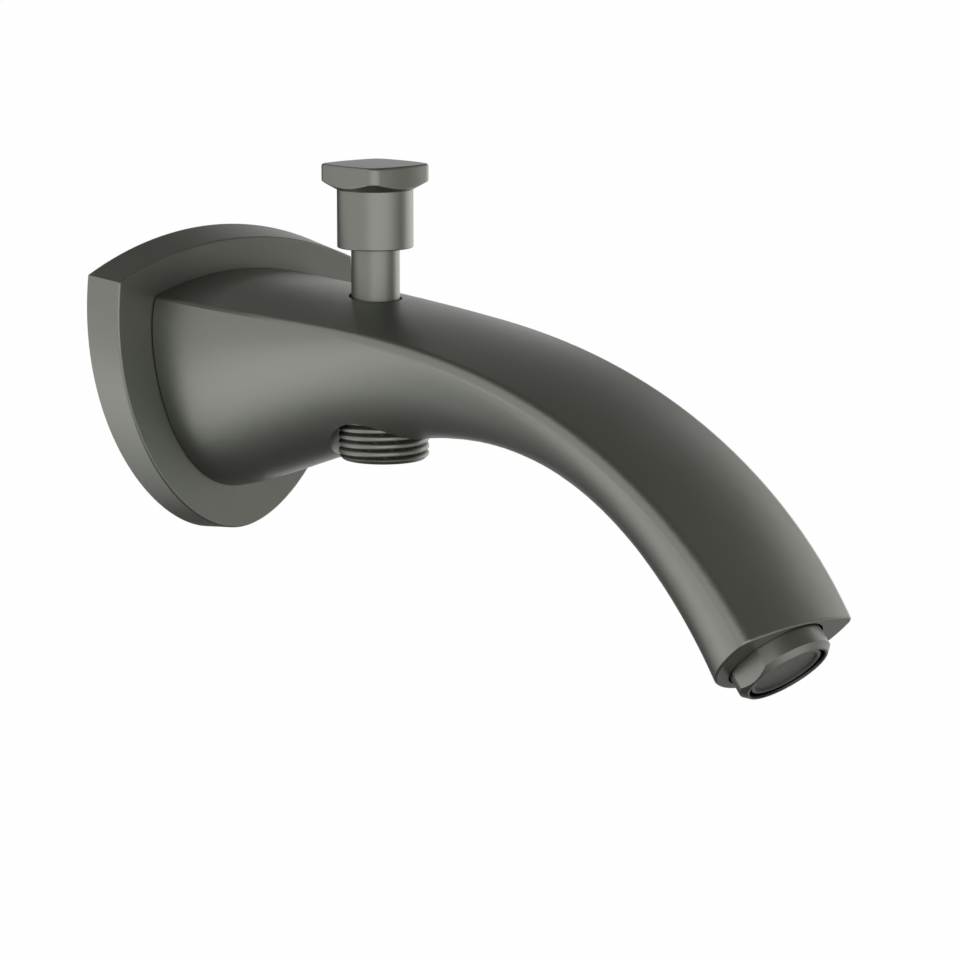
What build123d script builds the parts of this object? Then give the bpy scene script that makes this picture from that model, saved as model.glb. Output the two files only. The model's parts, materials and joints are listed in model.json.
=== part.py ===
from build123d import *

import os
from math import cos, radians, sin, tan

# Wall-mounted bath spout with a pull-up diverter knob and a hose connection.
# Sizes are in millimetres. The origin lies on the wall, on the axis of the inlet
# thread. +Z is up, and the spout reaches out from the wall along -Y. A "reach" is
# measured out from the wall, and a "height" up from the inlet axis.

# Wall flange: a shield with a crowned top, smaller at the front than on the wall
FLANGE_HALF_WIDTH = 37.9
FLANGE_TOP = 36.8
FLANGE_CORNER = 27.9
FLANGE_BOTTOM = -37.3
FLANGE_SIDE_OUT = 42.7
FLANGE_SIDE_HEIGHT = -9.0
FLANGE_FOOT = 17.5
FLANGE_DEPTH = 9.9
FLANGE_SIDE_DRAFT = 1.45
FLANGE_TOP_DRAFT = 2.4
FLANGE_FOOT_DRAFT = 1.1
FLANGE_WALL = 2.4
FLANGE_FACE = 2.6
FLANGE_EDGE_RADIUS = 0.5
HUB_WALL = 3.2
HUB_CLEARANCE = 0.3
WALL_SEAL_THICKNESS = 3.0
FLANGE_RING_SECTION = 1.6
RING_CLEARANCE = 0.1

# Crown line: the ridge of the body, level at the root and bent down at the tip
CROWN_HEIGHT = 26.95
TIP_REACH = 191.6
TIP_HEIGHT = -30.85
TIP_ANGLE = 47.8
CROWN_LEAD = 136.4
CROWN_TAIL = 24.3

# Body sections, square to the crown line at even shares of its length. The flank is
# drawn towards a point "out" to the side and "down" from the crown, and the keel is
# the half-width of the flattened underside.
ROOT_HALF_WIDTH = 25.7
ROOT_RISE = 4.2
ROOT_DEPTH = 52.8
ROOT_FLANK_OUT = 30.4
ROOT_FLANK_DOWN = 13.0
ROOT_KEEL = 23.3
NECK_HALF_WIDTH = 22.2
NECK_RISE = 4.3
NECK_DEPTH = 36.1
NECK_FLANK_OUT = 24.7
NECK_FLANK_DOWN = 9.7
NECK_KEEL = 16.0
WAIST_HALF_WIDTH = 20.4
WAIST_RISE = 1.9
WAIST_DEPTH = 23.15
WAIST_FLANK_OUT = 21.1
WAIST_FLANK_DOWN = 7.2
WAIST_KEEL = 8.0
FORE_HALF_WIDTH = 18.7
FORE_RISE = 1.7
FORE_DEPTH = 23.8
FORE_FLANK_OUT = 20.7
FORE_FLANK_DOWN = 12.9
FORE_KEEL = 2.5
TIP_HALF_WIDTH = 17.2
TIP_RISE = 3.0
TIP_DEPTH = 25.8
TIP_FLANK_OUT = 20.7
TIP_FLANK_DOWN = 21.6
TIP_KEEL = 1.7
ROOT_EDGE_RADIUS = 1.5
TIP_EDGE_RADIUS = 3.0
TIP_RIM_RADIUS = 0.5
BODY_WALL = 3.0
SEAM_WIDTH = 0.3
SEAM_DEPTH = 0.6

# Inlet: a spigot through the flange with a female G1/2 pipe thread
THREAD_MAJOR_RADIUS = 10.4775
THREAD_MINOR_RADIUS = 9.3155
SPIGOT_RADIUS = 13.5
INLET_THREAD_LENGTH = 13.0
INLET_BORE_RADIUS = 7.0
INLET_WASHER_THICKNESS = 2.0
WASHER_CLEARANCE = 0.2

# Diverter: a knob and a spindle with a disc valve that works between two seats
DIVERTER_REACH = 58.6
DIVERTER_LIFT = 5.5
STEM_SHOWN = 11.4
STEM_RADIUS = 5.6
STEM_CLEARANCE = 0.05
STEM_MOUTH_GAP = 0.55
STEM_MOUTH_DEPTH = 1.2
STEM_RING_SECTION = 1.8
STEM_RING_DOWN = 2.7
STEM_BOSS_DOWN = 6.2
STEM_BOSS_WALL = 1.8
ROD_RADIUS = 3.0
SKIRT_RADIUS = 8.8
SKIRT_HEIGHT = 13.4
SKIRT_EDGE_RADIUS = 0.3
CAP_HALF_SIDE = 9.1
CAP_BULGE = 1.1
CAP_CORNER_RADIUS = 3.0
CAP_HEIGHT = 5.9
CAP_UNDER_ANGLE = 29.0
CAP_EDGE_RADIUS = 0.6
CAP_UNDER_RADIUS = 0.4
KNOB_SOCKET_DEPTH = 15.0
VALVE_RADIUS = 8.8
VALVE_DISC_THICKNESS = 1.4
VALVE_WASHER_THICKNESS = 1.2
VALVE_SCREW_RADIUS = 1.5
VALVE_SCREW_LENGTH = 9.0
VALVE_HEAD_RADIUS = 2.7
VALVE_HEAD_HEIGHT = 1.0
SCREW_CLEARANCE = 0.1
SEAT_CLEARANCE = 0.1
LOWER_SEAT_HEIGHT = 2.0
SEAT_PORT_RADIUS = 6.5
SEAT_WEB = 1.4
CHAMBER_PASSAGE = 1.0
RISER_WIDTH = 15.0
INLET_STOP = 14.6
BULKHEAD_BACK = 20.6

# Hose connection under the body: a G1/2 nipple in a round pocket
HOSE_AHEAD = 2.6
HOSE_SHOWN = 10.5
HOSE_BORE_RADIUS = 5.5
HOSE_KEY_FLATS = 12.0
HOSE_KEY_DEPTH = 6.0
HOSE_END_CHAMFER = 0.9
HOSE_SHOULDER = 0.6
HOSE_CLEARANCE = 0.02
HOSE_RING_SECTION = 1.6
POCKET_GAP = 2.0
POCKET_HEIGHT = -2.0

# Aerator, screwed into the tip face
AERATOR_EDGE = 0.6
AERATOR_RECESS_GAP = 0.5
AERATOR_RECESS_DEPTH = 2.0
AERATOR_BORE_RADIUS = 10.0
AERATOR_BORE_DEPTH = 8.2
AERATOR_PORT_RADIUS = 7.6
AERATOR_PORT_DEPTH = 18.0
AERATOR_CLEARANCE = 0.05
HOUSING_OUT = 5.1
HOUSING_FLATS = 19.9
HOUSING_RADIUS = 10.9
HOUSING_CHAMFER = 1.2
HOUSING_MOUTH_GAP = 0.9
HOUSING_MOUTH_DEPTH = 2.6
HOUSING_LIP_GAP = 0.3
HOUSING_LIP_LENGTH = 1.5
HOUSING_WALL = 0.9
CAGE_RADIUS = 8.3
CAGE_SETBACK = 0.6
CAGE_RIM_WIDTH = 0.8
CAGE_RIM_HEIGHT = 0.5
CAGE_FLANGE_THICKNESS = 1.4
CAGE_LEDGE = 1.0
SCREEN_THICKNESS = 0.8
REGULATOR_WALL = 1.6
AERATOR_WASHER_THICKNESS = 1.5


def shield(plane, half_width, corner, top, bottom, side_out, side_height, foot, edge=0):
    """A shield outline: crowned top edge, two swelling sides and a rounded foot."""
    with BuildSketch(plane) as outline:
        with BuildLine():
            ThreePointArc((-half_width, corner), (0, top), (half_width, corner))
            Bezier((half_width, corner), (side_out, side_height), (foot, bottom), (0, bottom))
            Bezier((0, bottom), (-foot, bottom), (-side_out, side_height), (-half_width, corner))
        make_face()
        if edge:
            fillet(outline.vertices().group_by(Axis.Y)[-1], edge)
    return outline.sketch


def flange_outline(reach, wall=0):
    """The flange's outline at a reach from the wall, drawn in by its draft and by a wall."""
    draft = reach / FLANGE_DEPTH
    side = draft * FLANGE_SIDE_DRAFT + wall
    return shield(
        Plane.XZ.offset(reach),
        FLANGE_HALF_WIDTH - side,
        FLANGE_CORNER - side * cos(radians(45)),
        FLANGE_TOP - draft * FLANGE_TOP_DRAFT - wall,
        FLANGE_BOTTOM + draft * FLANGE_FOOT_DRAFT + wall,
        FLANGE_SIDE_OUT - side,
        FLANGE_SIDE_HEIGHT,
        FLANGE_FOOT,
    )


with BuildLine(Plane.YZ) as crown:
    tail_reach = CROWN_TAIL * cos(radians(TIP_ANGLE))
    tail_height = CROWN_TAIL * sin(radians(TIP_ANGLE))
    crown_line = Bezier(
        (-FLANGE_DEPTH, CROWN_HEIGHT),
        (-FLANGE_DEPTH - CROWN_LEAD, CROWN_HEIGHT),
        (tail_reach - TIP_REACH, TIP_HEIGHT + tail_height),
        (-TIP_REACH, TIP_HEIGHT),
    )


def body_section(share, half_width, rise, depth, flank_out, flank_down, keel, wall):
    """The body's outline square to the crown line, or its core's outline a wall inside."""
    return shield(
        Plane(crown_line @ share, x_dir=(1, 0, 0), z_dir=crown_line % share),
        half_width - wall,
        -rise - wall,
        -wall,
        wall - depth,
        flank_out - wall,
        -flank_down,
        keel,
        ROOT_EDGE_RADIUS + share * (TIP_EDGE_RADIUS - ROOT_EDGE_RADIUS),
    )


def body_sections(wall=0):
    """The five outlines of the body, from the root to the tip face."""
    root = (ROOT_HALF_WIDTH, ROOT_RISE, ROOT_DEPTH, ROOT_FLANK_OUT, ROOT_FLANK_DOWN, ROOT_KEEL)
    neck = (NECK_HALF_WIDTH, NECK_RISE, NECK_DEPTH, NECK_FLANK_OUT, NECK_FLANK_DOWN, NECK_KEEL)
    waist_flank = (WAIST_FLANK_OUT, WAIST_FLANK_DOWN)
    waist = (WAIST_HALF_WIDTH, WAIST_RISE, WAIST_DEPTH, *waist_flank, WAIST_KEEL)
    fore = (FORE_HALF_WIDTH, FORE_RISE, FORE_DEPTH, FORE_FLANK_OUT, FORE_FLANK_DOWN, FORE_KEEL)
    tip = (TIP_HALF_WIDTH, TIP_RISE, TIP_DEPTH, TIP_FLANK_OUT, TIP_FLANK_DOWN, TIP_KEEL)
    sections = (root, neck, waist, fore, tip)
    last = len(sections) - 1
    return [body_section(i / last, *sizes, wall) for i, sizes in enumerate(sections)]


def diverter_level(height):
    """A level plane whose origin lies on the diverter's axis."""
    return Plane((0, -DIVERTER_REACH, height))


def hose_level(height):
    """A level plane whose origin lies on the hose nipple's axis."""
    return Plane((0, -HOSE_REACH, height))


# Places that follow from the sizes above
BODY_TOP = (crown_line & Plane.XZ.offset(DIVERTER_REACH)).center().Z
SKIRT_BOTTOM = BODY_TOP + STEM_SHOWN
SKIRT_TOP = SKIRT_BOTTOM + SKIRT_HEIGHT
STEM_HOLE_RADIUS = STEM_RADIUS + STEM_CLEARANCE
STEM_RING_HEIGHT = BODY_TOP - STEM_RING_DOWN
STEM_RING_GROOVE = STEM_RING_SECTION + 2 * RING_CLEARANCE
FLANGE_RING_GROOVE = FLANGE_RING_SECTION + 2 * RING_CLEARANCE
STEM_END_HEIGHT = STEM_RING_HEIGHT - STEM_RING_GROOVE / 2 - DIVERTER_LIFT
DIVERTER_AXIS = Axis((0, -DIVERTER_REACH, 0), (0, 0, 1))
DIVERTER_PLANE = Plane.XZ.offset(DIVERTER_REACH)
VALVE_BOTTOM = LOWER_SEAT_HEIGHT + SEAT_CLEARANCE
DISC_BOTTOM = VALVE_BOTTOM + VALVE_WASHER_THICKNESS
DISC_TOP = DISC_BOTTOM + VALVE_DISC_THICKNESS
VALVE_TOP = DISC_TOP + VALVE_WASHER_THICKNESS
UPPER_SEAT_HEIGHT = VALVE_TOP + DIVERTER_LIFT + SEAT_CLEARANCE
BLOCK_TOP = UPPER_SEAT_HEIGHT + SEAT_WEB
CHAMBER_RADIUS = VALVE_RADIUS + CHAMBER_PASSAGE
BLOCK_RADIUS = CHAMBER_RADIUS + BODY_WALL
HOSE_REACH = DIVERTER_REACH + HOSE_AHEAD
HOSE_PLANE = Plane.XZ.offset(HOSE_REACH)
HOSE_AXIS = Axis((0, -HOSE_REACH, 0), (0, 0, 1))
HOSE_END_HEIGHT = POCKET_HEIGHT - HOSE_SHOWN
HOSE_SEAT_RADIUS = THREAD_MAJOR_RADIUS + HOSE_SHOULDER
HOSE_RING_GROOVE = HOSE_RING_SECTION + 2 * RING_CLEARANCE
HOSE_RING_HEIGHT = (POCKET_HEIGHT + LOWER_SEAT_HEIGHT) / 2
POCKET_RADIUS = THREAD_MAJOR_RADIUS + POCKET_GAP
INLET_BORE_REACH = DIVERTER_REACH - INLET_STOP
BULKHEAD_REACH = DIVERTER_REACH - BULKHEAD_BACK
INLET_SEAT_REACH = INLET_THREAD_LENGTH + INLET_WASHER_THICKNESS + WASHER_CLEARANCE
HUB_HOLE_RADIUS = SPIGOT_RADIUS + HUB_CLEARANCE
HUB_RADIUS = HUB_HOLE_RADIUS + HUB_WALL
FLANGE_RING_REACH = (WALL_SEAL_THICKNESS + FLANGE_DEPTH) / 2
AERATOR_RECESS_RADIUS = HOUSING_RADIUS + AERATOR_RECESS_GAP
AERATOR_DOWN = AERATOR_RECESS_RADIUS + AERATOR_EDGE
TIP_PLANE = Plane(crown_line @ 1, x_dir=(1, 0, 0), z_dir=crown_line % 1)
AERATOR_PLANE = TIP_PLANE.shift_origin(TIP_PLANE.from_local_coords((0, -AERATOR_DOWN, 0)))
AERATOR_AXIS = Axis(AERATOR_PLANE.origin, AERATOR_PLANE.z_dir)
AERATOR_HALF = Plane(AERATOR_PLANE.origin, x_dir=(1, 0, 0), z_dir=-AERATOR_PLANE.y_dir)
SLEEVE_RADIUS = AERATOR_BORE_RADIUS - AERATOR_CLEARANCE
SLEEVE_BORE_RADIUS = SLEEVE_RADIUS - HOUSING_WALL
LIP_RADIUS = CAGE_RADIUS + HOUSING_LIP_GAP
MOUTH_RADIUS = CAGE_RADIUS + HOUSING_MOUTH_GAP
LIP_BACK = HOUSING_OUT - HOUSING_MOUTH_DEPTH - HOUSING_LIP_LENGTH
INSERT_RADIUS = SLEEVE_BORE_RADIUS - AERATOR_CLEARANCE
CAGE_FLANGE_TOP = LIP_BACK - AERATOR_CLEARANCE
CAGE_BACK = CAGE_FLANGE_TOP - CAGE_FLANGE_THICKNESS
CAGE_FACE = HOUSING_OUT - CAGE_SETBACK
CAGE_MOUTH_RADIUS = CAGE_RADIUS - CAGE_RIM_WIDTH
SCREEN_FACE = CAGE_FACE - CAGE_RIM_HEIGHT
SCREEN_BACK = SCREEN_FACE - SCREEN_THICKNESS
SLEEVE_BACK = AERATOR_WASHER_THICKNESS - AERATOR_BORE_DEPTH
FAR = 4 * ROOT_DEPTH

os.makedirs("parts", exist_ok=True)

# Core of the casting: its inner form, a wall inside the outer one
with BuildPart() as inner_form:
    loft(sections=body_sections(BODY_WALL))

# Dry hollow behind the flange, round the inlet pipe
with BuildPart() as root_core:
    add(inner_form.part)
    split(bisect_by=Plane.XZ.offset(BULKHEAD_REACH - BODY_WALL), keep=Keep.BOTTOM)
    with BuildSketch(Plane.XZ):
        Circle(SPIGOT_RADIUS)
    extrude(amount=BULKHEAD_REACH, mode=Mode.SUBTRACT)

# Waterway from the valve block to the tip, with the stem's boss hanging in it
with BuildPart() as spout_core:
    add(inner_form.part)
    split(bisect_by=Plane.XZ.offset(BULKHEAD_REACH), keep=Keep.TOP)
    split(bisect_by=TIP_PLANE.offset(BODY_WALL - AERATOR_PORT_DEPTH), keep=Keep.BOTTOM)
    with BuildSketch(diverter_level(BLOCK_TOP)):
        Circle(BLOCK_RADIUS)
        with Locations((0, BULKHEAD_BACK / 2)):
            Rectangle(2 * BLOCK_RADIUS, BULKHEAD_BACK)
        with Locations((0, -HOSE_AHEAD)):
            Circle(POCKET_RADIUS + BODY_WALL)
    extrude(amount=-FAR, mode=Mode.SUBTRACT)
    with BuildSketch(diverter_level(BODY_TOP - STEM_BOSS_DOWN)):
        Circle(STEM_HOLE_RADIUS + STEM_RING_GROOVE + STEM_BOSS_WALL)
    extrude(amount=FAR, mode=Mode.SUBTRACT)

# Shadow gap round the root, where the body meets the flange
with BuildPart() as seam:
    extrude(body_sections(-SEAM_DEPTH)[0], amount=SEAM_WIDTH)
    extrude(body_sections(SEAM_DEPTH)[0], amount=SEAM_WIDTH, mode=Mode.SUBTRACT)

with BuildPart() as spout_body:
    loft(sections=body_sections())
    fillet(spout_body.faces().sort_by(AERATOR_AXIS)[-1].edges(), TIP_RIM_RADIUS)
    add(seam.part, mode=Mode.SUBTRACT)
    with BuildSketch(Plane.XZ):
        Circle(SPIGOT_RADIUS)
    extrude(amount=FLANGE_DEPTH)
    add(root_core.part, mode=Mode.SUBTRACT)
    add(spout_core.part, mode=Mode.SUBTRACT)
    # Inlet thread, relief groove, bore and the slot that rises into the valve chamber
    with BuildSketch(Plane.XZ):
        Circle(THREAD_MINOR_RADIUS)
    extrude(amount=INLET_THREAD_LENGTH, mode=Mode.SUBTRACT)
    with BuildSketch(Plane.XZ.offset(INLET_THREAD_LENGTH)):
        Circle(THREAD_MAJOR_RADIUS)
    extrude(amount=INLET_SEAT_REACH - INLET_THREAD_LENGTH, mode=Mode.SUBTRACT)
    with BuildSketch(Plane.XZ):
        Circle(INLET_BORE_RADIUS)
    extrude(amount=INLET_BORE_REACH, mode=Mode.SUBTRACT)
    with BuildSketch(Plane.XZ.offset(INLET_BORE_REACH - INLET_BORE_RADIUS)):
        with Locations((0, (LOWER_SEAT_HEIGHT + UPPER_SEAT_HEIGHT) / 2)):
            SlotOverall(RISER_WIDTH, UPPER_SEAT_HEIGHT - LOWER_SEAT_HEIGHT)
    extrude(amount=INLET_STOP + INLET_BORE_RADIUS, mode=Mode.SUBTRACT)
    # Valve chamber and the port above it
    with BuildSketch(DIVERTER_PLANE):
        with BuildLine():
            Polyline(
                (0, LOWER_SEAT_HEIGHT),
                (CHAMBER_RADIUS, LOWER_SEAT_HEIGHT),
                (CHAMBER_RADIUS, UPPER_SEAT_HEIGHT),
                (SEAT_PORT_RADIUS, UPPER_SEAT_HEIGHT),
                (SEAT_PORT_RADIUS, BLOCK_TOP),
                (0, BLOCK_TOP),
                close=True,
            )
        make_face()
    revolve(axis=DIVERTER_AXIS, mode=Mode.SUBTRACT)
    # Hole of the stem, with its seal groove and a wider mouth
    with BuildSketch(DIVERTER_PLANE):
        with BuildLine():
            Polyline(
                (0, BLOCK_TOP),
                (STEM_HOLE_RADIUS, BLOCK_TOP),
                (STEM_HOLE_RADIUS, BODY_TOP - STEM_MOUTH_DEPTH),
                (STEM_HOLE_RADIUS + STEM_MOUTH_GAP, BODY_TOP - STEM_MOUTH_DEPTH),
                (STEM_HOLE_RADIUS + STEM_MOUTH_GAP, SKIRT_BOTTOM),
                (0, SKIRT_BOTTOM),
                close=True,
            )
        make_face()
        with Locations((STEM_HOLE_RADIUS, STEM_RING_HEIGHT)):
            Rectangle(2 * STEM_RING_GROOVE, STEM_RING_GROOVE)
    revolve(axis=DIVERTER_AXIS, mode=Mode.SUBTRACT)
    # Pocket and tapped hole of the hose nipple
    with BuildSketch(hose_level(POCKET_HEIGHT)):
        Circle(POCKET_RADIUS)
    extrude(amount=-FAR, mode=Mode.SUBTRACT)
    with BuildSketch(hose_level(LOWER_SEAT_HEIGHT)):
        Circle(HOSE_SEAT_RADIUS + HOSE_CLEARANCE)
    extrude(amount=-FAR, mode=Mode.SUBTRACT)
    # Recess, tapped bore and port of the aerator
    with BuildSketch(AERATOR_PLANE):
        Circle(AERATOR_RECESS_RADIUS)
    extrude(amount=-AERATOR_RECESS_DEPTH, mode=Mode.SUBTRACT)
    with BuildSketch(AERATOR_PLANE):
        Circle(AERATOR_BORE_RADIUS)
    extrude(amount=-AERATOR_BORE_DEPTH, mode=Mode.SUBTRACT)
    with BuildSketch(AERATOR_PLANE):
        Circle(AERATOR_PORT_RADIUS)
    extrude(amount=-AERATOR_PORT_DEPTH, mode=Mode.SUBTRACT)
    # Groove of the ring that holds the flange
    with BuildSketch(Plane.XY):
        with Locations((HUB_HOLE_RADIUS, -FLANGE_RING_REACH)):
            Rectangle(2 * FLANGE_RING_GROOVE, FLANGE_RING_GROOVE)
    revolve(axis=Axis.Y, mode=Mode.SUBTRACT)
spout_body.part.label = "spout_body"
export_step(spout_body.part, "parts/spout_body.step")

with BuildPart() as wall_flange:
    loft(sections=[flange_outline(0), flange_outline(FLANGE_DEPTH)], ruled=True)
    fillet(wall_flange.faces().sort_by(Axis.Y)[0].edges(), FLANGE_EDGE_RADIUS)
    hollow_depth = FLANGE_DEPTH - FLANGE_FACE
    hollow = [flange_outline(0, FLANGE_WALL), flange_outline(hollow_depth, FLANGE_WALL)]
    loft(sections=hollow, ruled=True, mode=Mode.SUBTRACT)
    with BuildSketch(Plane.XZ.offset(WALL_SEAL_THICKNESS)):
        Circle(HUB_RADIUS)
    extrude(amount=FLANGE_DEPTH - WALL_SEAL_THICKNESS)
    with BuildSketch(Plane.XZ):
        Circle(HUB_HOLE_RADIUS)
    extrude(amount=FLANGE_DEPTH, mode=Mode.SUBTRACT)
wall_flange.part.label = "wall_flange"
export_step(wall_flange.part, "parts/wall_flange.step")

with BuildPart() as flange_o_ring:
    with BuildSketch(Plane.XY):
        with Locations((HUB_HOLE_RADIUS - FLANGE_RING_GROOVE / 2, -FLANGE_RING_REACH)):
            Circle(FLANGE_RING_SECTION / 2)
    revolve(axis=Axis.Y)
flange_o_ring.part.label = "flange_o_ring"
export_step(flange_o_ring.part, "parts/flange_o_ring.step")

with BuildPart() as wall_seal:
    with BuildSketch(Plane.XZ):
        Circle(HUB_RADIUS)
        Circle(HUB_HOLE_RADIUS, mode=Mode.SUBTRACT)
    extrude(amount=WALL_SEAL_THICKNESS)
wall_seal.part.label = "wall_seal"
export_step(wall_seal.part, "parts/wall_seal.step")

with BuildPart() as inlet_washer:
    with BuildSketch(Plane.XZ.offset(INLET_SEAT_REACH)):
        Circle(THREAD_MAJOR_RADIUS - WASHER_CLEARANCE)
        Circle(INLET_BORE_RADIUS, mode=Mode.SUBTRACT)
    extrude(amount=-INLET_WASHER_THICKNESS)
inlet_washer.part.label = "inlet_washer"
export_step(inlet_washer.part, "parts/inlet_washer.step")

with BuildPart() as diverter_knob:
    # Square cap with bowed sides, cut from below by a cone that leaves scalloped edges
    with BuildSketch(diverter_level(SKIRT_TOP)) as cap_plan:
        with BuildLine():
            side = CAP_HALF_SIDE
            bow = CAP_HALF_SIDE + CAP_BULGE
            ThreePointArc((-side, -side), (0, -bow), (side, -side))
            ThreePointArc((side, -side), (bow, 0), (side, side))
            ThreePointArc((side, side), (0, bow), (-side, side))
            ThreePointArc((-side, side), (-bow, 0), (-side, -side))
        make_face()
        fillet(cap_plan.vertices(), CAP_CORNER_RADIUS)
    extrude(amount=CAP_HEIGHT)
    fillet(diverter_knob.faces().sort_by(Axis.Z)[-1].edges(), CAP_EDGE_RADIUS)
    with BuildSketch(DIVERTER_PLANE):
        with BuildLine():
            cone_out = SKIRT_RADIUS + CAP_HALF_SIDE
            cone_top = SKIRT_TOP + CAP_HALF_SIDE * tan(radians(CAP_UNDER_ANGLE))
            Polyline(
                (SKIRT_RADIUS, SKIRT_TOP),
                (cone_out, SKIRT_TOP),
                (cone_out, cone_top),
                close=True,
            )
        make_face()
    revolve(axis=DIVERTER_AXIS, mode=Mode.SUBTRACT)
    scallops = diverter_knob.faces().filter_by(GeomType.CONE).edges()
    fillet(scallops.filter_by(GeomType.CIRCLE, reverse=True), CAP_UNDER_RADIUS)
    # Round skirt with a socket for the stem
    with BuildSketch(diverter_level(SKIRT_BOTTOM)):
        Circle(SKIRT_RADIUS)
    extrude(amount=SKIRT_HEIGHT)
    fillet(diverter_knob.faces().sort_by(Axis.Z)[0].edges(), SKIRT_EDGE_RADIUS)
    with BuildSketch(diverter_level(SKIRT_BOTTOM)):
        Circle(STEM_HOLE_RADIUS)
    extrude(amount=KNOB_SOCKET_DEPTH, mode=Mode.SUBTRACT)
diverter_knob.part.label = "diverter_knob"
export_step(diverter_knob.part, "parts/diverter_knob.step")

with BuildPart() as diverter_spindle:
    with BuildSketch(DIVERTER_PLANE):
        with BuildLine():
            stem_top = SKIRT_BOTTOM + KNOB_SOCKET_DEPTH
            screw_hole_radius = VALVE_SCREW_RADIUS + SCREW_CLEARANCE
            screw_hole_top = VALVE_BOTTOM + VALVE_SCREW_LENGTH + SCREW_CLEARANCE
            Polyline(
                (0, stem_top),
                (STEM_RADIUS, stem_top),
                (STEM_RADIUS, STEM_END_HEIGHT),
                (ROD_RADIUS, STEM_END_HEIGHT),
                (ROD_RADIUS, DISC_TOP),
                (screw_hole_radius, DISC_TOP),
                (screw_hole_radius, screw_hole_top),
                (0, screw_hole_top),
                close=True,
            )
        make_face()
    revolve(axis=DIVERTER_AXIS)
diverter_spindle.part.label = "diverter_spindle"
export_step(diverter_spindle.part, "parts/diverter_spindle.step")

with BuildPart() as stem_o_ring:
    with BuildSketch(DIVERTER_PLANE):
        with Locations((STEM_HOLE_RADIUS + STEM_RING_GROOVE / 2, STEM_RING_HEIGHT)):
            Circle(STEM_RING_SECTION / 2)
    revolve(axis=DIVERTER_AXIS)
stem_o_ring.part.label = "stem_o_ring"
export_step(stem_o_ring.part, "parts/stem_o_ring.step")

with BuildPart() as valve_disc:
    with BuildSketch(diverter_level(DISC_BOTTOM)):
        Circle(VALVE_RADIUS)
        Circle(VALVE_SCREW_RADIUS + SCREW_CLEARANCE, mode=Mode.SUBTRACT)
    extrude(amount=VALVE_DISC_THICKNESS)
valve_disc.part.label = "valve_disc"
export_step(valve_disc.part, "parts/valve_disc.step")

with BuildPart() as upper_valve_washer:
    with BuildSketch(diverter_level(DISC_TOP)):
        Circle(VALVE_RADIUS)
        Circle(ROD_RADIUS + SCREW_CLEARANCE, mode=Mode.SUBTRACT)
    extrude(amount=VALVE_WASHER_THICKNESS)
upper_valve_washer.part.label = "upper_valve_washer"
export_step(upper_valve_washer.part, "parts/upper_valve_washer.step")

with BuildPart() as lower_valve_washer:
    with BuildSketch(diverter_level(DISC_BOTTOM)):
        Circle(VALVE_RADIUS)
        Circle(VALVE_HEAD_RADIUS + SCREW_CLEARANCE, mode=Mode.SUBTRACT)
    extrude(amount=-VALVE_WASHER_THICKNESS)
lower_valve_washer.part.label = "lower_valve_washer"
export_step(lower_valve_washer.part, "parts/lower_valve_washer.step")

with BuildPart() as valve_screw:
    with BuildSketch(diverter_level(DISC_BOTTOM)):
        Circle(VALVE_HEAD_RADIUS)
    extrude(amount=-VALVE_HEAD_HEIGHT)
    with BuildSketch(diverter_level(DISC_BOTTOM)):
        Circle(VALVE_SCREW_RADIUS)
    extrude(amount=VALVE_SCREW_LENGTH - VALVE_WASHER_THICKNESS)
valve_screw.part.label = "valve_screw"
export_step(valve_screw.part, "parts/valve_screw.step")

with BuildPart() as hose_nipple:
    with BuildSketch(HOSE_PLANE):
        with BuildLine():
            Polyline(
                (HOSE_BORE_RADIUS, HOSE_END_HEIGHT),
                (THREAD_MAJOR_RADIUS - HOSE_END_CHAMFER, HOSE_END_HEIGHT),
                (THREAD_MAJOR_RADIUS, HOSE_END_HEIGHT + HOSE_END_CHAMFER),
                (THREAD_MAJOR_RADIUS, POCKET_HEIGHT),
                (HOSE_SEAT_RADIUS, POCKET_HEIGHT),
                (HOSE_SEAT_RADIUS, LOWER_SEAT_HEIGHT),
                (HOSE_BORE_RADIUS, LOWER_SEAT_HEIGHT),
                close=True,
            )
        make_face()
    revolve(axis=HOSE_AXIS)
    with BuildSketch(HOSE_PLANE):
        with Locations((HOSE_SEAT_RADIUS, HOSE_RING_HEIGHT)):
            Rectangle(2 * HOSE_RING_GROOVE, HOSE_RING_GROOVE)
    revolve(axis=HOSE_AXIS, mode=Mode.SUBTRACT)
    # Hexagon socket that the nipple is driven with
    with BuildSketch(hose_level(HOSE_END_HEIGHT)):
        RegularPolygon(HOSE_KEY_FLATS / 2, 6, major_radius=False)
    extrude(amount=HOSE_KEY_DEPTH, mode=Mode.SUBTRACT)
hose_nipple.part.label = "hose_nipple"
export_step(hose_nipple.part, "parts/hose_nipple.step")

with BuildPart() as hose_o_ring:
    with BuildSketch(HOSE_PLANE):
        with Locations((HOSE_SEAT_RADIUS - HOSE_RING_GROOVE / 2, HOSE_RING_HEIGHT)):
            Circle(HOSE_RING_SECTION / 2)
    revolve(axis=HOSE_AXIS)
hose_o_ring.part.label = "hose_o_ring"
export_step(hose_o_ring.part, "parts/hose_o_ring.step")

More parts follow.
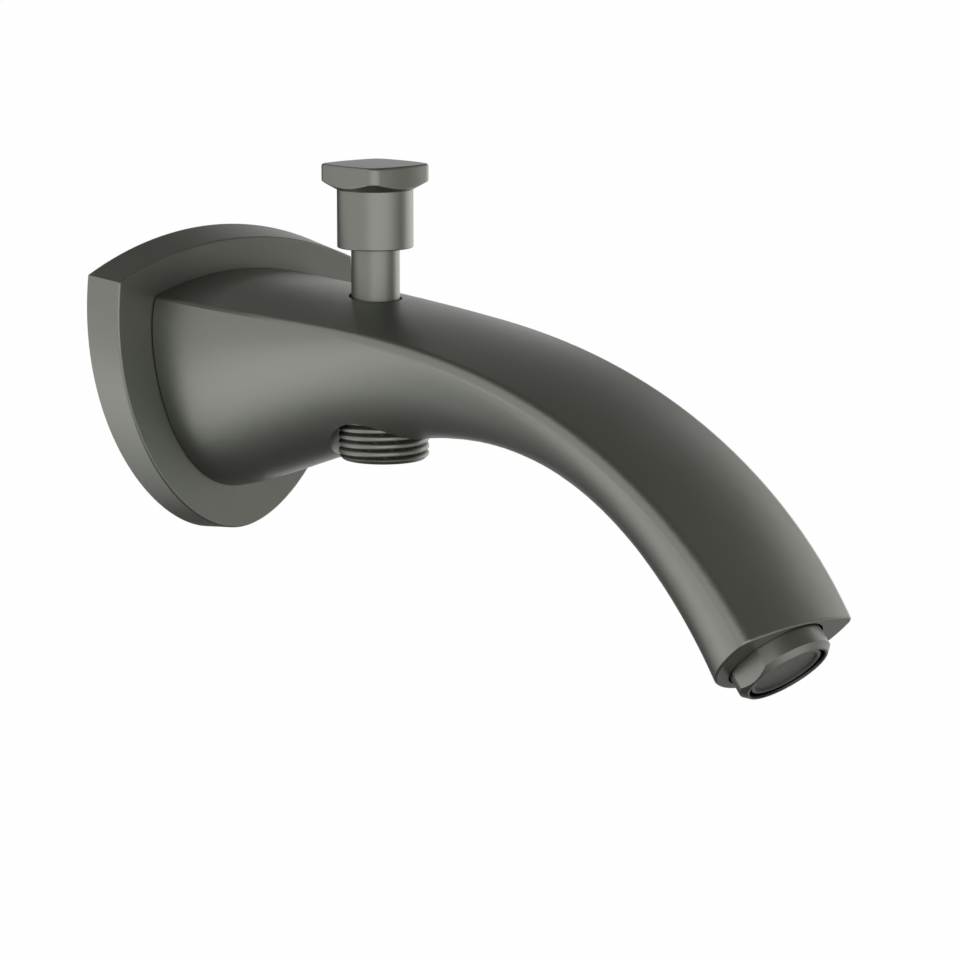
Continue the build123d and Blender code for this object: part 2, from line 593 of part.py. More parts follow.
with BuildPart() as aerator_housing:
    # Round head with a bevelled edge and a flat on each side for a wrench
    with BuildSketch(AERATOR_PLANE.offset(-AERATOR_RECESS_DEPTH)):
        Circle(HOUSING_RADIUS)
    extrude(amount=AERATOR_RECESS_DEPTH + HOUSING_OUT)
    chamfer(aerator_housing.edges().sort_by(AERATOR_AXIS)[-1], HOUSING_CHAMFER)
    with BuildSketch(AERATOR_PLANE):
        Circle(2 * HOUSING_RADIUS)
        Rectangle(HOUSING_FLATS, 4 * HOUSING_RADIUS, mode=Mode.SUBTRACT)
    extrude(amount=HOUSING_OUT, mode=Mode.SUBTRACT)
    with BuildSketch(AERATOR_PLANE):
        Circle(SLEEVE_RADIUS)
    extrude(amount=SLEEVE_BACK)
    # Stepped bore: mouth, lip that holds the insert, and sleeve
    with BuildSketch(AERATOR_HALF):
        with BuildLine():
            Polyline(
                (0, SLEEVE_BACK),
                (SLEEVE_BORE_RADIUS, SLEEVE_BACK),
                (SLEEVE_BORE_RADIUS, LIP_BACK),
                (LIP_RADIUS, LIP_BACK),
                (LIP_RADIUS, HOUSING_OUT - HOUSING_MOUTH_DEPTH),
                (MOUTH_RADIUS, HOUSING_OUT - HOUSING_MOUTH_DEPTH),
                (MOUTH_RADIUS, HOUSING_OUT),
                (0, HOUSING_OUT),
                close=True,
            )
        make_face()
    revolve(axis=AERATOR_AXIS, mode=Mode.SUBTRACT)
aerator_housing.part.label = "aerator_housing"
export_step(aerator_housing.part, "parts/aerator_housing.step")

with BuildPart() as aerator_cage:
    with BuildSketch(AERATOR_HALF):
        with BuildLine():
            Polyline(
                (CAGE_MOUTH_RADIUS - CAGE_LEDGE, CAGE_BACK),
                (INSERT_RADIUS, CAGE_BACK),
                (INSERT_RADIUS, CAGE_FLANGE_TOP),
                (CAGE_RADIUS, CAGE_FLANGE_TOP),
                (CAGE_RADIUS, CAGE_FACE),
                (CAGE_MOUTH_RADIUS, CAGE_FACE),
                (CAGE_MOUTH_RADIUS, SCREEN_BACK),
                (CAGE_MOUTH_RADIUS - CAGE_LEDGE, SCREEN_BACK),
                close=True,
            )
        make_face()
    revolve(axis=AERATOR_AXIS)
aerator_cage.part.label = "aerator_cage"
export_step(aerator_cage.part, "parts/aerator_cage.step")

with BuildPart() as aerator_screen:
    with BuildSketch(AERATOR_PLANE.offset(SCREEN_FACE)):
        Circle(CAGE_MOUTH_RADIUS - AERATOR_CLEARANCE)
    extrude(amount=-SCREEN_THICKNESS)
aerator_screen.part.label = "aerator_screen"
export_step(aerator_screen.part, "parts/aerator_screen.step")

with BuildPart() as flow_regulator:
    with BuildSketch(AERATOR_PLANE.offset(CAGE_BACK)):
        Circle(INSERT_RADIUS)
        Circle(INSERT_RADIUS - REGULATOR_WALL, mode=Mode.SUBTRACT)
        with PolarLocations(0, 3):
            Rectangle(2 * INSERT_RADIUS - REGULATOR_WALL, REGULATOR_WALL)
    extrude(amount=SLEEVE_BACK - CAGE_BACK)
flow_regulator.part.label = "flow_regulator"
export_step(flow_regulator.part, "parts/flow_regulator.step")

with BuildPart() as aerator_washer:
    with BuildSketch(AERATOR_PLANE.offset(-AERATOR_BORE_DEPTH)):
        Circle(SLEEVE_RADIUS)
        Circle(AERATOR_PORT_RADIUS, mode=Mode.SUBTRACT)
    extrude(amount=AERATOR_WASHER_THICKNESS)
aerator_washer.part.label = "aerator_washer"
export_step(aerator_washer.part, "parts/aerator_washer.step")
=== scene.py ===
# %% [markdown]
# # A bath spout in satin graphite
#
# The spout is a brass casting that screws on to a pipe in the wall. Its parts come in as
# a fixed frame at their real size, in metres, with +Z up and the wall at Y = 0. This
# lesson gives every part its finish, cuts the threads and sets up a small studio.

# %% Load the parts
import json
from math import cos, pi, radians, sin

import bpy
from mathutils import Matrix, Vector


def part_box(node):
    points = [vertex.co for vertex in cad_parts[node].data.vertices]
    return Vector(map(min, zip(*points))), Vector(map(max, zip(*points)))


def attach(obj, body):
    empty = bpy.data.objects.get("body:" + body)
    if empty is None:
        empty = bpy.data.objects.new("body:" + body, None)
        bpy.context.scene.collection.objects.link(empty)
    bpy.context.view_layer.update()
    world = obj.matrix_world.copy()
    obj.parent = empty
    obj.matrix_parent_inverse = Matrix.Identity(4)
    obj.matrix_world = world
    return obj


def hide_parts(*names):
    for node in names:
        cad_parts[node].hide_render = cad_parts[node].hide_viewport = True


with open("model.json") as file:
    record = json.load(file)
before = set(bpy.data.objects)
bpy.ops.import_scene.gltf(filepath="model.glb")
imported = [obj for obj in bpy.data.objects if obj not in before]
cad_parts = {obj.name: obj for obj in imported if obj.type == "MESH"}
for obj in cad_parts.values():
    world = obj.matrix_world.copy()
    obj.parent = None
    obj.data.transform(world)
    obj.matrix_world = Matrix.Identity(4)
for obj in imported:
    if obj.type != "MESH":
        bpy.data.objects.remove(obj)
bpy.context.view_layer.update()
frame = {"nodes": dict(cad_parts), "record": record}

MM = 0.001
parts = frame["nodes"]

# %% [markdown]
# ## A shorthand for nodes
#
# Materials and Geometry Nodes are both graphs of nodes. Wiring them one link at a time
# hides the formula, so a wire here is a Python value: arithmetic on it adds Math nodes,
# and one method makes every other kind of node. Sockets are found by identifier or name.


# %% Wires and graphs
class Wire:
    """An output socket of a graph. Arithmetic on it adds Math nodes to that graph."""

    def __init__(self, graph, socket):
        self.graph = graph
        self.socket = socket

    def also(self, name):
        """Another output of the node that this wire comes from."""
        return Wire(self.graph, self.graph.find(self.socket.node.outputs, name))

    def math(self, operation, *others):
        """A Math node with this wire as its first operand."""
        return self.graph.math(operation, self, *others)

    def __add__(self, other):
        return self.math("ADD", other)

    def __sub__(self, other):
        return self.math("SUBTRACT", other)

    def __rsub__(self, other):
        return self.graph.math("SUBTRACT", other, self)

    def __mul__(self, other):
        return self.math("MULTIPLY", other)

    def __truediv__(self, other):
        return self.math("DIVIDE", other)

    def __pow__(self, other):
        return self.math("POWER", other)

    def __lt__(self, other):
        return self.math("LESS_THAN", other)

    def __gt__(self, other):
        return self.math("GREATER_THAN", other)

    __radd__ = __add__
    __rmul__ = __mul__


class Graph:
    """A node tree, with one method that makes any node in it."""

    def __init__(self, tree):
        self.tree = tree

    def node(self, kind, settings=None, sockets=None, out=0):
        """A node with its settings, then its sockets' values or wires. Returns one output."""
        made = self.tree.nodes.new(kind)
        for name, value in (settings or {}).items():
            setattr(made, name, value)
        for key, value in (sockets or {}).items():
            self.feed(self.find(made.inputs, key), value)
        if made.outputs:
            return Wire(self, self.find(made.outputs, out))

    def math(self, operation, *operands):
        """A Math node of values or wires."""
        return self.node("ShaderNodeMath", {"operation": operation}, dict(enumerate(operands)))

    def find(self, sockets, key):
        """The socket with an identifier, or else with a name or a number."""
        for socket in sockets:
            if key == socket.identifier:
                return socket
        return sockets[key]

    def feed(self, socket, value):
        """Links a wire to a socket, or types a value into it."""
        if isinstance(value, Wire):
            self.tree.links.new(value.socket, socket)
        else:
            socket.default_value = value


print("operators:", [name for name in vars(Wire) if name.startswith("__")])

# %% [markdown]
# ## Finishes
#
# Every finish is one Principled surface. What changes from spot to spot, such as a little
# cloud in the coating or the grain of the blasting, is a noise in Object coordinates, so
# it stays put when a part moves. What is the same all over is typed into the shader.


# %% The common ground of every finish
def blank(owner):
    """The emptied graph of a material or a world."""
    owner.use_nodes = True
    owner.node_tree.nodes.clear()
    return Graph(owner.node_tree)


def finish(name, build):
    """A material whose surface is set up by a build function."""
    material = bpy.data.materials.new(name)
    graph = blank(material)
    place = graph.node("ShaderNodeTexCoord", out="Object")
    shader = graph.node("ShaderNodeBsdfPrincipled", {}, build(graph, place))
    graph.node("ShaderNodeOutputMaterial", {}, {"Surface": shader})
    return material


def noise(graph, place, size, detail=2.0):
    """A soft random value about 0.5, with patches of about the given size in metres."""
    sockets = {"Vector": place, "Scale": 1 / size, "Detail": detail, "Roughness": 0.55}
    return graph.node("ShaderNodeTexNoise", {}, sockets, "Fac")


def shade(graph, share, dark, light):
    """A colour between two others."""
    sockets = {"Factor_Float": share, "A_Color": (*dark, 1), "B_Color": (*light, 1)}
    return graph.node("ShaderNodeMix", {"data_type": "RGBA"}, sockets, "Result_Color")


def grain(graph, height, depth):
    """A bump of the given depth in metres."""
    return graph.node("ShaderNodeBump", {}, {"Height": height, "Distance": depth}, "Normal")


def dress(material, *names):
    """Gives parts a material."""
    for name in names:
        parts[name].data.materials.clear()
        parts[name].data.materials.append(material)
    print(material.name, "on", ", ".join(names))


print("finish helpers ready")

# %% [markdown]
# ## Satin graphite
#
# The brass is blasted to a fine grain and then coated in a vacuum with a dark, slightly
# green-grey film. The film is metal, so it has no colour of its own under the shine:
# Metallic is 1, and Base Color is the tint of the reflections. The grain is about a fifth
# of a millimetre, and the film is a touch smoother in some patches than in others.

# %% Satin graphite
# BLACK is the dark end of the graphite's and the plastic's tones, and the painted shade of the
# aerator's gap
BLACK = (0.01, 0.01, 0.009)
GRAPHITE = (0.215, 0.223, 0.198)
CLOUD_SIZE = 14 * MM
BLAST_SIZE = 0.22 * MM
BLAST_DEPTH = 0.004 * MM


def satin_graphite(graph, place, unshaded_share=1.0):
    """The coated metal, painted black as shade where the last argument is 0."""
    cloud = noise(graph, place, CLOUD_SIZE, 3.0)
    sparkle = noise(graph, place, BLAST_SIZE, 1.0)
    tone = 0.87 + 0.09 * cloud + 0.04 * sparkle
    return {
        "Base Color": shade(graph, unshaded_share * tone, BLACK, GRAPHITE),
        "Metallic": 1.0,
        "Roughness": 0.37 + 0.05 * cloud + 0.04 * sparkle,
        "Normal": grain(graph, sparkle, BLAST_DEPTH),
    }


graphite = finish("satin_graphite", satin_graphite)
dress(graphite, "spout_body", "wall_flange", "diverter_knob", "diverter_spindle")

# %% [markdown]
# ## Rubber and bare metal
#
# The seals are black rubber with the faint bloom that rubber gets. The valve's disc is turned
# brass: its grooves are rings about the diverter's axis, which a distance in the XY plane
# gives without any texture map. Its screw is plain steel. Each has a dark and a light colour.

# %% Small parts
RUBBER = (0.012, 0.012, 0.012), (0.03, 0.03, 0.029)
BRASS = (0.50, 0.36, 0.15), (0.68, 0.51, 0.24)
STEEL = (0.46, 0.46, 0.45), (0.6, 0.6, 0.59)
DIVERTER_Y = sum(corner.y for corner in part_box("valve_disc")) / 2
GROOVE_PITCH = 0.12 * MM


def seal_rubber(graph, place):
    bloom = noise(graph, place, 3 * MM, 3.0)
    skin = noise(graph, place, 0.2 * MM)
    return {
        "Base Color": shade(graph, bloom, *RUBBER),
        "Roughness": 0.6 + 0.2 * bloom,
        "Normal": grain(graph, skin, 0.01 * MM),
    }


def turned_brass(graph, place):
    across = graph.node("ShaderNodeSeparateXYZ", {}, {"Vector": place})
    inwards = across.also("Y") - DIVERTER_Y
    reach = (across * across + inwards * inwards).math("SQRT")
    rings = (reach / GROOVE_PITCH).math("PINGPONG", 1.0)
    tarnish = noise(graph, place, 4 * MM, 3.0)
    return {
        "Base Color": shade(graph, tarnish, *BRASS),
        "Metallic": 1.0,
        "Roughness": 0.26 + 0.16 * tarnish,
        "Normal": grain(graph, rings, 0.008 * MM),
    }


def plain_steel(graph, place):
    scuff = noise(graph, place, 0.5 * MM, 3.0)
    return {
        "Base Color": shade(graph, scuff, *STEEL),
        "Metallic": 1.0,
        "Roughness": 0.24 + 0.2 * scuff,
        "Normal": grain(graph, scuff, 0.006 * MM),
    }


seals = [name for name in parts if name.endswith(("_ring", "_seal", "_washer"))]
dress(finish("seal_rubber", seal_rubber), *seals)
dress(finish("turned_brass", turned_brass), "valve_disc")
dress(finish("plain_steel", plain_steel), "valve_screw")

# %% [markdown]
# ## The aerator
#
# The tip holds a plastic insert in a metal head. The walls of the narrow gap between them are
# painted black, a painted shade for the shadow that falls in the gap. A spot is told by its
# distance from the aerator's axis and its depth along it. The axis leans with the tip, so
# both are measured from the middle of the screen, with dot products.

# %% Aerator
TIP_LEAN = radians(47.8)
ACROSS = Vector((1, 0, 0))
UPHILL = Vector((0, -sin(TIP_LEAN), cos(TIP_LEAN)))
OUTWARDS = Vector((0, -cos(TIP_LEAN), -sin(TIP_LEAN)))
SCREEN = sum(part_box("aerator_screen"), Vector()) / 2
PLASTIC = (0.068, 0.068, 0.065)

# The gap lies between these radii, and it is painted black as shade below this height over the screen
CAGE_WALL = 8.27 * MM
MOUTH_WALL = 9.23 * MM
GAP_TOP = 1.0 * MM


def along(graph, place, direction):
    """How far a spot lies from the middle of the screen in a direction."""
    measure = {0: place, 1: direction}
    reach = graph.node("ShaderNodeVectorMath", {"operation": "DOT_PRODUCT"}, measure, "Value")
    return reach - direction.dot(SCREEN)


def from_axis(graph, place):
    """How far a spot lies from the aerator's axis."""
    across = along(graph, place, ACROSS)
    uphill = along(graph, place, UPHILL)
    return (across * across + uphill * uphill).math("SQRT")


def head_graphite_painted_shade(graph, place):
    # Painted shade: the head is painted black inside the mouth and deep in the gap
    inside = from_axis(graph, place) < MOUTH_WALL
    deep = along(graph, place, OUTWARDS) < GAP_TOP
    return satin_graphite(graph, place, 1.0 - inside * deep)


def moulded_plastic_painted_shade(graph, place):
    speck = noise(graph, place, 0.35 * MM)
    # Painted shade: the insert's wall outside this radius, in the gap, is painted black
    face = from_axis(graph, place) < CAGE_WALL
    return {
        "Base Color": shade(graph, (0.75 + 0.25 * speck) * face, BLACK, PLASTIC),
        "Roughness": 0.34 + 0.16 * speck,
        "Normal": grain(graph, speck, 0.01 * MM),
    }


dress(finish("head_graphite_painted_shade", head_graphite_painted_shade), "aerator_housing")
dress(finish("moulded_plastic_painted_shade", moulded_plastic_painted_shade), "aerator_cage", "flow_regulator")

# %% [markdown]
# ## The aerator's screen
#
# The dark disc in the tip is a fine mesh of nylon that breaks the water into a smooth jet.
# Its threads are far thinner than a pixel in the picture, so the weave is a pattern in the
# finish: two sets of ridges that cross in the plane of the tip.

# %% Woven screen
MESH = (0.029, 0.029, 0.028), (0.064, 0.064, 0.061)
MESH_PITCH = 0.25 * MM


def woven_mesh(graph, place):
    weft = (along(graph, place, UPHILL) / MESH_PITCH).math("PINGPONG", 1.0)
    warp = (along(graph, place, ACROSS) / MESH_PITCH).math("PINGPONG", 1.0)
    weave = warp.math("MAXIMUM", weft)
    return {
        "Base Color": shade(graph, weave, *MESH),
        "Roughness": 0.55 - 0.15 * weave,
        "Normal": grain(graph, weave, 0.03 * MM),
    }


dress(finish("woven_mesh", woven_mesh), "aerator_screen")

# %% [markdown]
# ## A lathe for pipe threads
#
# The pipe and the hose screw on to threads of 1.814 mm pitch. A thread could be a helix swept
# by a little triangle, but a swept helix has to be joined to its core and cut at both ends.
# Turning it is cleaner: a lathe sweeps one closed profile about the axis, and the thread is
# only a limit on the radius that rises by one pitch a turn. Geometry Nodes do both at once.
# A zigzag gives sharp teeth, and a power of it gives full, round crests over narrow grooves.

# %% A lathe that cuts threads
SEAM_REACH = 0.002 * MM
SHARP_ANGLE = radians(50)
LATHE_INPUTS = (
    ("Crest", "NodeSocketFloat", 10.0 * MM),
    ("Root", "NodeSocketFloat", 9.0 * MM),
    ("Pitch", "NodeSocketFloat", 1.814 * MM),
    ("Fullness", "NodeSocketFloat", 3.2),
    ("Start", "NodeSocketFloat", 0.0),
    ("Side", "NodeSocketFloat", 1.0),
    ("Thread top", "NodeSocketFloat", 0.0),
    ("Key flats", "NodeSocketFloat", 0.0),
    ("Key top", "NodeSocketFloat", -1.0),
    ("Turn steps", "NodeSocketInt", 132),
    ("Profile steps", "NodeSocketInt", 300),
    ("Finish", "NodeSocketMaterial", None),
)


def lathe_tree():
    """Turns a profile (X is radius, Z is height) about Z, with a thread and a hexagon key."""
    tree = bpy.data.node_groups.new("thread_lathe", "GeometryNodeTree")
    tree.interface.new_socket("Profile", in_out="INPUT", socket_type="NodeSocketGeometry")
    for name, kind, default in LATHE_INPUTS:
        socket = tree.interface.new_socket(name, in_out="INPUT", socket_type=kind)
        if default is not None:
            socket.default_value = default
    tree.interface.new_socket("Turned", in_out="OUTPUT", socket_type="NodeSocketGeometry")
    graph = Graph(tree)
    given = graph.node("NodeGroupInput").also

    # A square sheet: its X becomes the angle and its Y the way along the profile
    steps = {"Vertices X": given("Turn steps"), "Vertices Y": given("Profile steps")}
    sheet = graph.node("GeometryNodeMeshGrid", {}, {"Size X": 1.0, "Size Y": 1.0, **steps})
    flat = graph.node("ShaderNodeSeparateXYZ", {}, {"Vector": graph.node("GeometryNodeInputPosition")})
    turn = flat + 0.5
    profile = {"Curves": given("Profile"), "Factor": flat.also("Y") + 0.5}
    point = graph.node("GeometryNodeSampleCurve", {"mode": "FACTOR"}, profile, "Position")
    radius = graph.node("ShaderNodeSeparateXYZ", {}, {"Vector": point})
    height = radius.also("Z")

    # The thread limits the radius, from outside on a pin and from inside in a hole
    rise = (height - given("Start")) / given("Pitch") - turn
    zigzag = (2.0 * rise).math("PINGPONG", 1.0)
    tooth = 1.0 - (1.0 - zigzag) ** given("Fullness")
    limit = given("Root") + (given("Crest") - given("Root")) * tooth
    cut = (given("Side") * radius).math("MINIMUM", given("Side") * limit) * given("Side")
    radius = radius + (cut - radius) * (height < given("Thread top"))

    # The key is a hexagon that widens the bore up to a height
    angle = 2 * pi * turn
    swing = angle.math("WRAP", pi / 6, -pi / 6)
    hexagon = 0.5 * given("Key flats") / swing.math("COSINE")
    radius = radius + (radius.math("MAXIMUM", hexagon) - radius) * (height < given("Key top"))

    # The sheet is bent round, closed, and made smooth apart from its sharp edges
    turned = {"X": radius * angle.math("COSINE"), "Y": radius * angle.math("SINE"), "Z": height}
    place = graph.node("ShaderNodeCombineXYZ", {}, turned)
    bent = graph.node("GeometryNodeSetPosition", {}, {"Geometry": sheet, "Position": place})
    seam = {"Geometry": bent, "Distance": SEAM_REACH}
    closed = graph.node("GeometryNodeMergeByDistance", {}, seam)
    smooth = graph.node("GeometryNodeSetShadeSmooth", {}, {"Geometry": closed})
    sharp = graph.node("GeometryNodeInputMeshEdgeAngle") > SHARP_ANGLE
    edges = {"Geometry": smooth, "Selection": sharp, "Shade Smooth": False}
    crisp = graph.node("GeometryNodeSetShadeSmooth", {"domain": "EDGE"}, edges)
    whole = graph.node("GeometryNodeRealizeInstances", {}, {"Geometry": crisp})
    coated = {"Geometry": whole, "Material": given("Finish")}
    graph.node("NodeGroupOutput", {}, {"Turned": graph.node("GeometryNodeSetMaterial", {}, coated)})
    return tree


thread_lathe = lathe_tree()
print("lathe nodes:", len(thread_lathe.nodes))

# %% [markdown]
# ## Using the lathe
#
# A piece starts as a closed outline of half its section, drawn as a curve. The lathe is put
# on it as a modifier, its result is copied into a plain mesh, and the curve is thrown away.
# What is left is an ordinary object at the origin, ready to ride with its body.


# %% Use of the lathe
def turn_piece(name, profile, place, inputs):
    """A mesh object turned from a closed profile of (radius, height) points and put in place."""
    curve = bpy.data.curves.new(name + "_profile", "CURVE")
    curve.dimensions = "3D"
    line = curve.splines.new("POLY")
    line.points.add(len(profile) - 1)
    for point, (radius, height) in zip(line.points, profile):
        point.co = (radius, 0, height, 1)
    line.use_cyclic_u = True
    stock = bpy.data.objects.new(name + "_stock", curve)
    bpy.context.scene.collection.objects.link(stock)
    lathe = stock.modifiers.new("lathe", "NODES")
    lathe.node_group = thread_lathe
    for socket in thread_lathe.interface.items_tree:
        if socket.in_out == "INPUT" and socket.name in inputs:
            lathe[socket.identifier] = inputs[socket.name]
    bpy.context.view_layer.update()
    turned = stock.evaluated_get(bpy.context.evaluated_depsgraph_get())
    mesh = bpy.data.meshes.new_from_object(turned)
    bpy.data.objects.remove(stock)
    mesh.transform(place)
    mesh.name = name
    piece = bpy.data.objects.new(name, mesh)
    bpy.context.scene.collection.objects.link(piece)
    print(name, "has", len(mesh.polygons), "faces")
    return piece


mounts = {mount["name"]: mount for mount in frame["record"]["mounts"]}
print("mounts:", sorted(mounts))

# %% [markdown]
# ## The hose nipple
#
# The nipple is turned brass with the same coating, and a hexagon key inside its bore drives
# it home. The profile follows the plain part in the frame, with its seal groove, so the
# threaded one lies exactly where the plain one was.

# %% Threaded hose nipple
low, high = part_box("hose_nipple")
ring_low, ring_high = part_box("hose_o_ring")
MAJOR = mounts["hose_outlet"]["dims"]["r_mm"] * MM
THREAD_DEPTH = 0.9275 * MM
THREAD_START = 0.54 * MM
SHOULDER = (high.x - low.x) / 2
SHOULDER_Z = -2 * MM
BORE = 5.5 * MM
KEY_FLATS = 12 * MM
KEY_TOP = low.z + 6 * MM
END_CHAMFER = 0.9 * MM
CUT_PLAY = 0.02 * MM
RING_PLAY = 0.1 * MM
GROOVE = SHOULDER - (ring_high.z - ring_low.z) - 2 * RING_PLAY

nipple_profile = (
    (KEY_FLATS / 2, low.z),
    (MAJOR - END_CHAMFER, low.z),
    (MAJOR, low.z + END_CHAMFER),
    (MAJOR, SHOULDER_Z),
    (SHOULDER, SHOULDER_Z),
    (SHOULDER, ring_low.z - RING_PLAY),
    (GROOVE, ring_low.z - RING_PLAY),
    (GROOVE, ring_high.z + RING_PLAY),
    (SHOULDER, ring_high.z + RING_PLAY),
    (SHOULDER, high.z),
    (BORE, high.z),
    (BORE, KEY_TOP),
    (KEY_FLATS / 2, KEY_TOP),
)
nipple_inputs = {
    "Crest": MAJOR,
    "Root": MAJOR - THREAD_DEPTH,
    "Start": THREAD_START,
    "Thread top": SHOULDER_Z - CUT_PLAY,
    "Key flats": KEY_FLATS,
    "Key top": KEY_TOP - CUT_PLAY,
    "Profile steps": 560,
    "Finish": graphite,
}
nipple_place = Matrix.Translation((0, mounts["hose_outlet"]["pos_m"][1], 0))
nipple = turn_piece("threaded_nipple", nipple_profile, nipple_place, nipple_inputs)
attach(nipple, "spout")
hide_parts("hose_nipple")

# %% [markdown]
# ## The inlet thread
#
# At the back the spout is tapped for the pipe in the wall. The casting in the frame has a
# plain hole there, so the thread is a thin sleeve inside it, cut by the same lathe with its
# side turned round: now the limit keeps the radius from falling below it. The lathe's axis
# is upright, so the sleeve is laid down to point away from the wall.

# %% Inlet thread
PIPE_BORE = mounts["wall_inlet"]["dims"]["r_mm"] * MM
PIPE_DEPTH = mounts["wall_inlet"]["dims"]["length_mm"] * MM
SLEEVE_OUT = PIPE_BORE - CUT_PLAY
SLEEVE_ROOT = PIPE_BORE - 0.05 * MM
SLEEVE_IN = PIPE_BORE - 0.6 * MM
SLEEVE_START = 0.8 * MM

sleeve_profile = (
    (SLEEVE_OUT, SLEEVE_START),
    (SLEEVE_OUT, PIPE_DEPTH),
    (SLEEVE_IN, PIPE_DEPTH),
    (SLEEVE_IN, 2 * SLEEVE_START),
)
sleeve_inputs = {
    "Crest": SLEEVE_IN,
    "Root": SLEEVE_ROOT,
    "Side": -1.0,
    "Thread top": PIPE_DEPTH + CUT_PLAY,
    "Finish": graphite,
}
sleeve_place = Matrix.Rotation(radians(90), 4, "X")
sleeve = turn_piece("inlet_thread", sleeve_profile, sleeve_place, sleeve_inputs)
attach(sleeve, "spout")

# %% [markdown]
# ## The studio
#
# Satin metal shows the room more than itself, so the room is made first. It is a white tent
# as bright as paper, in which a colour renders about as it is written. The dark and bright
# sides of the spout come from cards and soft lamps that are set up in it afterwards.

# %% White tent
WHITE = (1, 1, 1, 1)

world = bpy.data.worlds.new("white_tent")
tent = blank(world)
glow = tent.node("ShaderNodeBackground", {}, {"Color": WHITE, "Strength": 1.0})
tent.node("ShaderNodeOutputWorld", {}, {"Surface": glow})
bpy.context.scene.world = world
print("tent:", world.name)

# %% [markdown]
# ## The floor
#
# The spout hangs on a wall that isn't shown, over a floor of pale paper. The camera, and the
# metal too, see most of the paper as glowing, so it is white like the tent. The rest of it
# is matt and takes the soft shadow of the spout.

# %% Floor
FLOOR_Z = -0.6
FLOOR_RADIUS = 14
GLOW_SHARE = 0.9
PAPER = (0.92, 0.92, 0.92, 1)

spot = (0, 0, FLOOR_Z)
bpy.ops.mesh.primitive_circle_add(vertices=96, radius=FLOOR_RADIUS, fill_type="NGON", location=spot)
floor = bpy.context.object
floor.name = "floor"

paper = bpy.data.materials.new("floor_paper")
graph = blank(paper)
rays = graph.node("ShaderNodeLightPath", out="Is Camera Ray")
seen = rays + rays.also("Is Glossy Ray") + rays.also("Is Transmission Ray")
matt = graph.node("ShaderNodeBsdfDiffuse", {}, {"Color": PAPER})
white = graph.node("ShaderNodeEmission", {}, {"Color": WHITE, "Strength": 1.0})
mixed = {"Fac": GLOW_SHARE * seen.math("MINIMUM", 1.0), 1: matt, 2: white}
surface = graph.node("ShaderNodeMixShader", {}, mixed)
graph.node("ShaderNodeOutputMaterial", {}, {"Surface": surface})
floor.data.materials.append(paper)
print("floor at", FLOOR_Z)

# %% [markdown]
# ## Dark cards
#
# In a white tent alone the spout would be a flat grey shape. Dark cards outside the picture
# show in the metal and round it off: one overhead darkens the top, one behind and one below
# darken the belly and the tip, and a strip in front draws a dark line on the knob. They are
# a slightly warm grey, and the metal alone sees them. Their width and height are for each
# metre of distance, and their level is in parts of the tent's own brightness.

# %% Dark cards
CENTRE = Vector((0, -0.095, 0))
CARD_TINT = (1, 1, 0.93, 1)


def compass(azimuth, elevation):
    """The direction at an azimuth, counted from the front to the right, and an elevation."""
    flat = cos(radians(elevation))
    across = flat * sin(radians(azimuth))
    return Vector((across, -flat * cos(radians(azimuth)), sin(radians(elevation))))


def card(name, azimuth, elevation, distance, width, height, level):
    """A card that faces the spout, as bright as its level."""
    bpy.ops.mesh.primitive_plane_add(size=distance)
    piece = bpy.context.object
    piece.name = name
    outwards = compass(azimuth, elevation)
    turn = outwards.to_track_quat("Z", "Y").to_matrix().to_4x4()
    away = Matrix.Translation(CENTRE + outwards * distance)
    piece.data.transform(away @ turn @ Matrix.Diagonal((width, height, 1, 1)))
    material = bpy.data.materials.new(name + "_face")
    graph = blank(material)
    face = graph.node("ShaderNodeEmission", {}, {"Color": CARD_TINT, "Strength": level})
    graph.node("ShaderNodeOutputMaterial", {}, {"Surface": face})
    piece.data.materials.append(material)
    piece.visible_camera = False
    piece.visible_shadow = False
    piece.visible_diffuse = False
    print(name, "at level", level)


card("overhead_card", azimuth=55, elevation=67, distance=0.9, width=3.95, height=3.09, level=0.19)
card("back_card", azimuth=166, elevation=-3, distance=0.85, width=0.82, height=1.27, level=0.02)
card("low_card", azimuth=118, elevation=-89, distance=0.5, width=1.84, height=2.19, level=0.12)
card("strip_card", azimuth=46, elevation=36, distance=0.7, width=0.67, height=4.4, level=0.28)

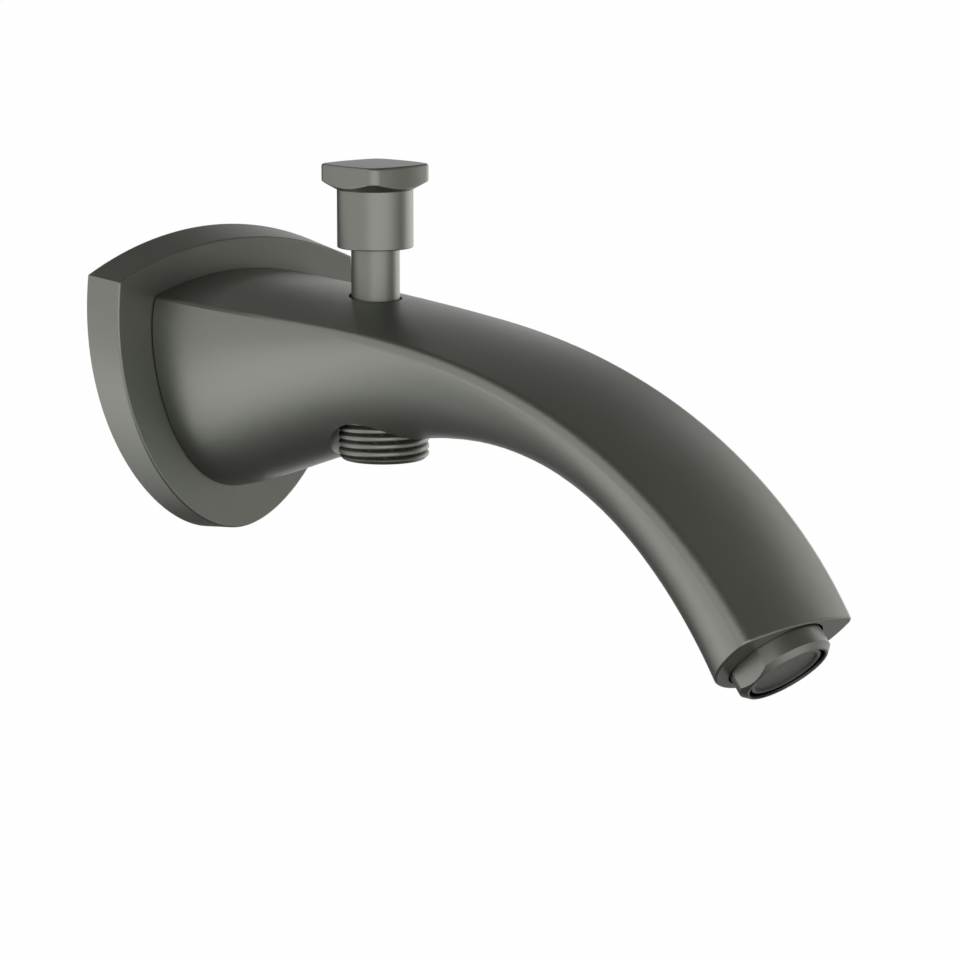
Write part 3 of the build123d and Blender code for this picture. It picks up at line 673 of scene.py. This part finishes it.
# %% [markdown]
# ## Soft lamps
#
# Three lamps add to the tent: one by the camera for the long flank, one on the right for the
# bright edges of the knob and the tip, and a low one behind for the line along the flank.
# Their sizes and levels are given as the cards' are. Blender shares a lamp's watts out over
# its area, so the same level takes more watts in a larger lamp.

# %% Soft lamps
LEVEL_WATTS = 4  # for each square metre of a lamp, to look as bright as the tent


def lamp(name, azimuth, elevation, distance, width, height, level):
    """A soft oblong lamp that adds a level to the tent, as seen in the metal."""
    light = bpy.data.lights.new(name, "AREA")
    light.shape = "RECTANGLE"
    light.size = width * distance
    light.size_y = height * distance
    light.energy = LEVEL_WATTS * level * light.size * light.size_y
    shining = bpy.data.objects.new(name, light)
    outwards = compass(azimuth, elevation)
    shining.location = CENTRE + outwards * distance
    shining.rotation_euler = outwards.to_track_quat("Z", "Y").to_euler()
    bpy.context.scene.collection.objects.link(shining)
    print(name, "has", round(light.energy, 2), "watts")


lamp("key_softbox", azimuth=-29, elevation=-3, distance=0.6, width=1.6, height=0.45, level=0.75)
lamp("side_softbox", azimuth=89, elevation=10, distance=0.6, width=0.95, height=0.82, level=0.88)
lamp("rear_softbox", azimuth=-127, elevation=-32, distance=0.6, width=0.53, height=0.49, level=0.74)

# %% [markdown]
# ## The camera
#
# The picture is taken from the left, a little above, with a long lens. The angle, distance
# and focal length were solved from edges of known size, so the render lies on the picture.

# %% Camera
CAMERA_AZIMUTH = -44.025
CAMERA_ELEVATION = 10.424
CAMERA_DISTANCE = 0.82952
AIM = Vector((0, -0.09328, -0.01359))
LENS_MM = 137.54
SENSOR_MM = 36

eye = bpy.data.cameras.new("camera")
eye.lens = LENS_MM
eye.sensor_width = SENSOR_MM
camera = bpy.data.objects.new("camera", eye)
towards = compass(CAMERA_AZIMUTH, CAMERA_ELEVATION)
camera.location = AIM + towards * CAMERA_DISTANCE
camera.rotation_euler = towards.to_track_quat("Z", "Y").to_euler()
bpy.context.scene.collection.objects.link(camera)
bpy.context.scene.camera = camera
bpy.context.scene.view_settings.view_transform = "Standard"
print("camera at", [round(v, 4) for v in camera.location])

# %% [markdown]
# ## The end
#
# The looks add nothing outside the frame of the bare parts.
